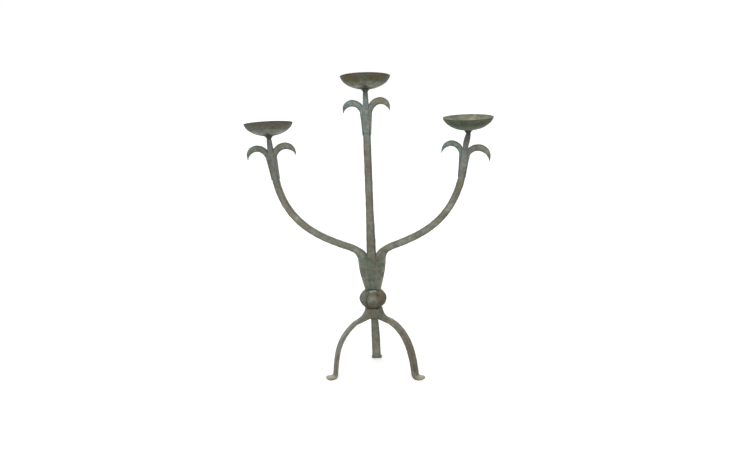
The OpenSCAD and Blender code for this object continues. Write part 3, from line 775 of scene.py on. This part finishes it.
# Painted highlights: a pale fleck along the front of the flat top, and a soft glint at the front
# middle.
marks["wear_and_painted_light"] = np.maximum(
    spots(rings, [(-1, -13, knop_z + 13.4, 2.2), (2, -12.5, knop_z + 14, 2),
                  (5, -12, knop_z + 14.6, 2)]),
    0.25 * spots(rings, [(2, -22, knop_z + 3, 4)]),
)
knop = skin("knop_ball", at_stem(rings), marks, True)
knop.data.materials.append(iron_material(
    "knop_iron",
    [(0, (84, 80, 66)), (0.3, (98, 96, 82)), (0.5, (103, 102, 89)), (0.75, (98, 99, 84)),
     (1, (96, 98, 84))],
    oxide=(84, 84, 70), rust=(100, 74, 46), scale=(50, 50, 40), wear_and_painted_light=(168, 164, 150),
    rust_amount=0.2, patch_size=55.0, blow_contrast=0.4, dullness=0.62,
))
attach(knop, "root")
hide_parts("knop")

# ---- Legs ----
# Three flat bars whose thick tops are welded into one crown round the tenon. Each swings out over a
# shoulder, comes down and turns out into a foot that is spread flat on the floor.

crown_h = 16.8
peen_seat = crown_top - crown_h
crown_half_t, crown_half_w = 5.8, 9.6
leg_half_w, foot_half_w, foot_half_t, foot_len = 7.8, 9.4, 2.3, 15
shoulder_reach, arch_reach, steer_z = 31.5, 28.5, 45
bend_r, sole = 6.5, 1.8
peen_r = 8.5


def make_leg(name, node, direction, before, after, ankle, half_t, high_w, shoulder_drop, arch_drop,
             swell, offset, seed, wear_and_painted_light, rust, iron):
    """A leg along +X, cut to its share of the crown, then turned to its direction in degrees.

    Its share runs from before to after its direction, also in degrees. half_t is half its
    thickness, high_w half its width at the shoulder, and the drops are those of shoulder and arch.
    swell is how much its top stands out in the crown, and offset how far it stands to its left."""
    shoulder = np.array([shoulder_reach, crown_top - shoulder_drop])
    arch = shoulder + [arch_reach, -arch_drop]
    path = [
        [[6.3, crown_top + 1], [6.5, crown_top - 9.8], [11, crown_top - 14.8], shoulder],
        [shoulder, arch, [ankle - 3.5, steer_z], [ankle, sole + bend_r]],
        [[ankle, sole + bend_r], [ankle + 0.4, sole + 2.5], [ankle + 2.6, sole],
         [ankle + bend_r, sole]],
        straight((ankle + bend_r, sole), (ankle + foot_len, sole)),
    ]
    rings, place, length, corner = bar_rings(
        path,
        [(0, crown_half_t), (0.5, crown_half_t), (0.75, 3.4), (1, half_t + 0.2),
         (1.4, half_t + 0.1), (2, half_t), (2.5, foot_half_t + 0.1), (3, foot_half_t),
         (3.75, foot_half_t - 0.2), (4, foot_half_t - 0.8)],
        [(0, crown_half_w), (0.5, crown_half_w - 0.6), (0.75, leg_half_w - 0.2), (1, high_w),
         (1.6, leg_half_w - 0.5), (2.4, leg_half_w), (3, foot_half_w - 0.6), (3.5, foot_half_w),
         (3.8, foot_half_w - 1.4), (4, foot_half_w - 4.2)],
        [(0, swell), (0.5, swell / 2), (0.75, 0)],
        [(0, bevel)],
        pitch=0.8, spread=3,
    )
    rings, marks = forged(rings, length, blow_pitch, 0.35, seed)
    # Corners are painted dark as shade, and the upward faces of the feet are painted pale as light from
    # above.
    marks["edge"] = corner * at_places(place, [(0.4, 0), (0.8, 1), (2.2, 1), (2.6, 0.4)])[:, None]
    top_side = smooth(outward(rings)[:, :, 2], 0.3, 0.9)
    marks["wear_and_painted_light"] = top_side * at_places(place, [(2.2, 0), (2.8, 0.75)])[:, None]
    rings += [0, offset, 0]
    for turn, way in ((after, 1), (-before, -1)):
        normal = way * np.array([-math.sin(math.radians(turn)), math.cos(math.radians(turn))])
        over = np.maximum(rings[:, :, :2] @ normal, 0)
        rings[:, :, :2] -= over[:, :, None] * normal
    from_axis = np.hypot(rings[:, :, 0], rings[:, :, 1])
    pushed_out = np.maximum(from_axis, tenon_bore) / np.maximum(from_axis, 0.01)
    rings[:, :, :2] *= pushed_out[:, :, None]
    lowest = np.where(from_axis < peen_r + 1, peen_seat, 0)
    rings[:, :, 2] = np.clip(rings[:, :, 2], lowest, crown_top)
    turn = math.radians(direction)
    x = rings[:, :, 0] * math.cos(turn) - rings[:, :, 1] * math.sin(turn)
    y = rings[:, :, 0] * math.sin(turn) + rings[:, :, 1] * math.cos(turn)
    rings = np.stack([x, y, rings[:, :, 2]], 2)
    # The listed pale spots are painted highlights on the upper outer faces.
    marks["wear_and_painted_light"] = np.maximum(marks["wear_and_painted_light"], 0.5 * spots(rings, wear_and_painted_light))
    marks["rust"] = 0.4 * spots(rings, rust)
    leg = skin(name, at_stem(rings), marks)
    leg.data.materials.append(iron)
    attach(leg, "root")
    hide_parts(node)


# The pale colour of the painted light on the feet and the painted highlights of the legs.
leg_painted_light = (158, 152, 132)
make_leg(
    "left_leg_bar", "left_leg", direction=209, before=56.5, after=63.5, ankle=69, half_t=2.3,
    high_w=6.5, shoulder_drop=22.3, arch_drop=19.5, swell=0, offset=0, seed=41,
    # painted highlights on the upper outer faces
    wear_and_painted_light=[(-27.1, -15, 91, 3), (-42, -23, 80, 3)],
    rust=[(-23.1, -13, 84, 5), (-40, -22, 72, 5)],
    iron=iron_material(
        "left_leg_iron",
        [(0, (94, 95, 83)), (0.18, (96, 97, 84)), (0.3, (122, 120, 106)), (0.5, (128, 128, 116)),
         (0.62, (118, 118, 105)), (0.8, (110, 112, 100)), (0.88, (114, 114, 101)),
         (1, (140, 137, 120))],
        oxide=(104, 100, 86), rust=(104, 78, 62), wear_and_painted_light=leg_painted_light,
    ),
)
make_leg(
    "right_leg_bar", "right_leg", direction=336, before=63.5, after=60, ankle=73.8, half_t=3.6,
    high_w=6.5, shoulder_drop=19.8, arch_drop=13.4, swell=1.2, offset=0, seed=42,
    # painted highlights on the upper outer faces
    wear_and_painted_light=[(67.4, -35, 8, 3), (31, -12, 92, 3)],
    rust=[(50.2, -22, 71.1, 6), (64.2, -28, 43.6, 7), (58, -24, 60, 6)],
    iron=iron_material(
        "right_leg_iron",
        [(0, (94, 94, 82)), (0.18, (98, 98, 85)), (0.3, (124, 124, 110)), (0.42, (116, 112, 100)),
         (0.55, (106, 101, 84)), (0.8, (98, 95, 79)), (0.88, (108, 105, 88)), (1, (138, 134, 116))],
        oxide=(92, 90, 76), rust=(116, 88, 72), wear_and_painted_light=leg_painted_light,
    ),
)
make_leg(
    "back_leg_bar", "back_leg", direction=96, before=60, after=56.5, ankle=73.5, half_t=2.6,
    high_w=5.6, shoulder_drop=20.8, arch_drop=15, swell=0, offset=1, seed=43,
    wear_and_painted_light=[], rust=[(-4, 40, 86, 6)],
    iron=iron_material(
        "back_leg_iron",
        [(0, (94, 94, 82)), (0.25, (124, 126, 110)), (0.5, (126, 127, 110)),
         (0.75, (126, 128, 112)), (0.9, (120, 126, 110)), (1, (120, 122, 108))],
        oxide=(112, 117, 100), edge_shade_amount=0.5, wear_and_painted_light=leg_painted_light,
    ),
)

# ---- Crown weld ----
# Where the legs' tops meet, weld metal fills the corners between them, dressed round and hammered
# smooth with the bars.

weld_r, weld_bore, clear = 12.5, 6.1, 0.3
steps = np.linspace(0, 5, 60)
radius = eased(steps, [(0, weld_bore), (1, weld_r - 1.5), (2, weld_r), (3, weld_r), (4, weld_r - 1.2),
                       (5, weld_bore)], 2)
height = eased(steps, [(0, clear), (1, clear), (2, clear + 1.5), (3, crown_h - clear - 1.3),
                       (4, crown_h - clear), (5, crown_h - clear)], 2)
rings = turned(radius, height, 160)
length = run_length(radius, height)
hammered, marks = forged(rings, length, 6, 0.4, 45)
rings = rings + (hammered - rings) * smooth(radius, 9, 11)[:, None, None]
rings += [0, 0, peen_seat]
# The lowest few millimetres, over the legs, are painted dark as shade, and a pale fleck on the top
# front is a painted highlight.
marks["edge"] = smooth(-rings[:, :, 2], -peen_seat - 4, -peen_seat - 0.5) * 0.6
marks["wear_and_painted_light"] = 0.6 * spots(rings, [(7.5, -10, crown_top - 2.5, 2)])
marks["rust"] = 0.4 * spots(rings, [(-3, -12, crown_top - 4, 4)])
weld = skin("crown_weld", at_stem(rings), marks, True)
weld.data.materials.append(iron_material(
    "crown_iron", [(0, (88, 88, 76)), (0.5, (95, 94, 82)), (1, (92, 92, 79))],
    oxide=(98, 99, 86), rust=(98, 80, 62),
))
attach(weld, "root")
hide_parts("left_leg", "right_leg", "back_leg")

# ---- Bosses ----
# Short flared collars, hammered out wide at the top, that carry each pan on its neck.

boss_h, boss_top_r, boss_foot_r, bore_r = 6, 7.2, 3.6, 1.62
bore_edge_r, pan_seat_r = 2.2, 9
pan_places = (
    ("center", (0, stem_crotch + neck_h), stem_tilt, 0),
    ("left", left_top * [-1, 1], left_tilt, 1),
    ("right", right_top, right_tilt, 2),
)


def at_pan(points, top, tilt):
    """Moves points from a pan's own frame to the top of its neck."""
    return at_stem(points @ pan_axes(tilt) + [top[0], 0, top[1]])


# Darker towards the end of each profile; on a boss that is its top, right under the pan.
boss_iron = iron_material(
    "boss_iron", [(0, (84, 88, 84)), (0.4, (70, 72, 62)), (1, (58, 58, 44))],
    oxide=(60, 62, 50), rust=(88, 70, 44), rust_amount=0.3, patch_size=90.0,
)
for side, top_place, tilt, seed in pan_places:
    f = np.linspace(0, 1, 22)
    flare = boss_foot_r + (boss_top_r - boss_foot_r) * f ** 1.7
    radius = np.concatenate([[bore_r], flare, [bore_r]])
    height = np.concatenate([[0], boss_h * f, [boss_h]])
    length = run_length(radius, height)
    rings = turned(radius, height, 96)
    hammered, marks = forged(rings, length, 4, 0.25, 51 + seed)
    rings = np.where((radius > bore_edge_r)[:, None, None], hammered, rings)
    rings[:, :, 2] = np.clip(rings[:, :, 2], 0, boss_h)
    # The top of each boss, right under its pan, is painted dark as shade.
    marks["edge"] = 0.8 * smooth(rings[:, :, 2], boss_h - 1.5, boss_h)
    boss = skin(side + "_flared_boss", at_pan(rings, top_place, tilt), marks, True)
    boss.data.materials.append(boss_iron)
    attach(boss, "root")
    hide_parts(side + "_boss")

# ---- Drip pans ----
# Shallow bowls raised from sheet iron by hammering from inside, with a slightly uneven rim. They
# are darker outside towards the rim. Shade is painted dark on the rims, round the bosses and under
# the necks, and light from the floor is painted pale low on the undersides. Heat has left ochre and
# purple stains under the rims.

bowl_w, bowl_h, pan_t = 40.3, 25.0, 1.8
bowl_start, bowl_end = math.asin(boss_top_r / bowl_w), math.radians(80)


def lip(a, b, count):
    """A half circle from point a round to point b, bulging to the right of the way from a to b."""
    middle, half = (a + b) / 2, (a - b) / 2
    t = np.linspace(0, math.pi, count)[:, None]
    return middle + np.cos(t) * half + np.sin(t) * np.array([-half[1], half[0]])


def make_pan(side, node, top_place, tilt, seed, wear_and_painted_light, rust, soot_and_shade, iron):
    """A bowl of sheet, hammered outside its flat seat.

    Its outside is part of an ellipse, r = w sin a and z = h (1 - cos a), and its inside lies one
    sheet thickness within it."""
    a = np.linspace(bowl_start, bowl_end, 80)
    outer = np.stack([bowl_w * np.sin(a), boss_h + bowl_h * (math.cos(bowl_start) - np.cos(a))], 1)
    inward = np.stack([-bowl_h * np.sin(a), bowl_w * np.cos(a)], 1)
    inner = outer + pan_t * inward / np.linalg.norm(inward, axis=1)[:, None]
    rim = lip(outer[-1], inner[-1], 9)[1:-1]
    profile = np.concatenate([
        [[bore_r, boss_h]], outer, rim, inner[:0:-1],
        [[boss_top_r + 0.2, boss_h + pan_t], [bore_r, boss_h + pan_t]],
    ])
    radius, height = profile[:, 0], profile[:, 1]
    length = run_length(radius, height)
    rings = turned(radius, height, 240)
    hammered, marks = forged(rings, length, 7, 0.35, 61 + seed)
    rings = np.where((radius > pan_seat_r)[:, None, None], hammered, rings)
    rings[:, :, 2] = np.minimum(rings[:, :, 2], outer[-1, 1])
    outside = np.arange(len(radius)) < len(outer) + 4
    # The rim is painted dark as shade, and so is the ring round the boss. The listed dark spots are
    # painted shade under the neck, and the listed pale ones are painted light.
    near_rim = smooth(rings[:, :, 2], outer[-1, 1] - 2.6, outer[-1, 1] - 0.4)
    marks["edge"] = near_rim * np.where(outside, 1.0, 0.6)[:, None]
    marks["wear_and_painted_light"] = 0.6 * spots(rings, wear_and_painted_light)
    marks["rust"] = 0.6 * spots(rings, rust)
    marks["soot_and_shade"] = np.maximum(spots(rings, soot_and_shade), 0.8 * smooth(-radius, -11, -8)[:, None])
    pan = skin(side + "_bowl", at_pan(rings, top_place, tilt), marks, True)
    pan.data.materials.append(iron)
    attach(pan, "root")
    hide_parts(node)


make_pan(
    "center", "center_pan", *pan_places[0][1:],
    wear_and_painted_light=[], rust=[(-26, -27, 21, 8), (-20, -30, 20, 7), (-32, -18, 22, 6), (24, -29, 21, 7)],
    # painted shade under the neck
    soot_and_shade=[(2, -14, 9, 7), (1, -20, 12, 5)],
    iron=iron_material(
        "center_pan_iron",
        # The pale band low on the underside is painted light from the floor, and the dark start by the
        # boss is painted shade.
        [(0, (50, 52, 42)), (0.12, (114, 118, 106)), (0.18, (162, 170, 154)), (0.26, (132, 137, 119)),
         (0.38, (90, 90, 73)), (0.49, (84, 83, 66)), (0.52, (120, 118, 98)), (0.7, (140, 134, 110)),
         (1, (110, 104, 84))],
        oxide=(84, 79, 64), rust=(98, 82, 50), rust_amount=0.25, patch_size=70.0, dullness=0.5,
    ),
)
make_pan(
    "left", "left_pan", *pan_places[1][1:],
    # the pale spots are painted light from the floor on the lower flanks
    wear_and_painted_light=[(-35, -10, 14, 5), (32, -16, 13, 5)], rust=[(8, -36, 22, 7)],
    # painted shade under the neck
    soot_and_shade=[(2, -14, 9, 6)],
    iron=iron_material(
        "left_pan_iron",
        # The pale band low on the underside is painted light from the floor, and the dark start by the
        # boss is painted shade.
        [(0, (56, 58, 50)), (0.1, (126, 128, 122)), (0.18, (174, 177, 172)), (0.27, (144, 146, 134)),
         (0.36, (102, 103, 90)), (0.49, (84, 85, 70)), (0.52, (120, 118, 98)), (0.7, (140, 134, 110)),
         (1, (110, 104, 84))],
        oxide=(84, 82, 70), rust=(90, 82, 66), wear_and_painted_light=(146, 148, 142), rust_amount=0.2,
        patch_size=70.0, dullness=0.5,
    ),
)
make_pan(
    "right", "right_pan", *pan_places[2][1:],
    # a painted highlight on the inside of the far wall
    wear_and_painted_light=[(6, 30, 15, 7)],
    rust=[(22, -30, 20, 6), (28, -24, 21, 6), (34, -17, 22, 6), (39, 4, 23, 4)],
    # painted shade under the neck, and a dark spot low on the front of the underside
    soot_and_shade=[(-2, -13, 9, 5), (20, -32, 16, 4)],
    iron=iron_material(
        "right_pan_iron",
        # The paler band low on the underside is painted light from the floor, and the dark start by the
        # boss is painted shade.
        [(0, (56, 62, 50)), (0.1, (100, 106, 92)), (0.2, (126, 137, 121)), (0.3, (97, 106, 89)),
         (0.4, (76, 84, 67)), (0.49, (86, 92, 75)), (0.52, (128, 130, 112)), (0.6, (128, 130, 112)),
         (0.75, (138, 136, 116)), (1, (116, 110, 90))],
        oxide=(70, 76, 60), rust=(92, 76, 44), wear_and_painted_light=(168, 152, 128), rust_amount=0.15,
        patch_size=70.0, dullness=0.5,
    ),
)

# ---- Prickets ----
# Spikes that hold the candles, each with a collar over the pan's floor and a shank that is riveted
# through pan and boss into the neck.

collar_h, collar_r, pricket_h = 1.6, boss_top_r - 0.8, 15
shank_r, shank_len, spike_r = 1.6, 15.3, 3
floor_z = boss_h + pan_t
for side, top_place, tilt, seed in pan_places:
    f = np.linspace(0, 1, 30)
    radius = np.concatenate([
        [0.05, shank_r - 0.05, shank_r, shank_r, collar_r - 0.3],
        collar_r - np.array([0, 0, 0.3, 0.8, 1.2, 2.4]),
        spike_r + (0.5 - spike_r) * f ** 0.9, [0.3, 0.05],
    ])
    height = floor_z + np.concatenate([
        [-shank_len, -shank_len, 0.3 - shank_len, 0, 0], [0.3, 1, 1.3, 1.5, collar_h, collar_h],
        collar_h + 0.4 + (pricket_h - collar_h - 1) * f, [pricket_h - 0.2, pricket_h],
    ])
    length = run_length(radius, height)
    rings = turned(radius, height, 64)
    rings, marks = forged(rings, length, 4, 0.12, 71 + seed)
    marks["wear_and_painted_light"] = 0.7 * smooth(rings[:, :, 2], floor_z + pricket_h - 4, floor_z + pricket_h)
    pricket = skin(side + "_spike", at_pan(rings, top_place, tilt), marks)
    pricket.data.materials.append(boss_iron)
    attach(pricket, "root")
    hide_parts(side + "_pricket")

# ---- Peened tenon ----
# The middle bar's round tenon. It carries knop and crown, and its end is peened over underneath.

tenon_r, peen_h = 6, 3.5
f = np.linspace(0.02, 1, 24)
dome_r = (peen_r ** 2 + peen_h ** 2) / (2 * peen_h)
radius = np.concatenate([peen_r * f, [peen_r - 0.3, tenon_r, tenon_r]])
height = np.concatenate([
    dome_r - peen_h - np.sqrt(dome_r ** 2 - (peen_r * f) ** 2), [0, 0, body_foot - peen_seat],
])
length = run_length(radius, height)
rings = turned(radius, height + peen_seat, 96)
rings, marks = forged(rings, length, 5, 0.15, 81)
tenon = skin("peened_tenon", at_stem(rings), marks)
tenon.data.materials.append(boss_iron)
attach(tenon, "root")
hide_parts("center_stem")

bpy.context.view_layer.update()
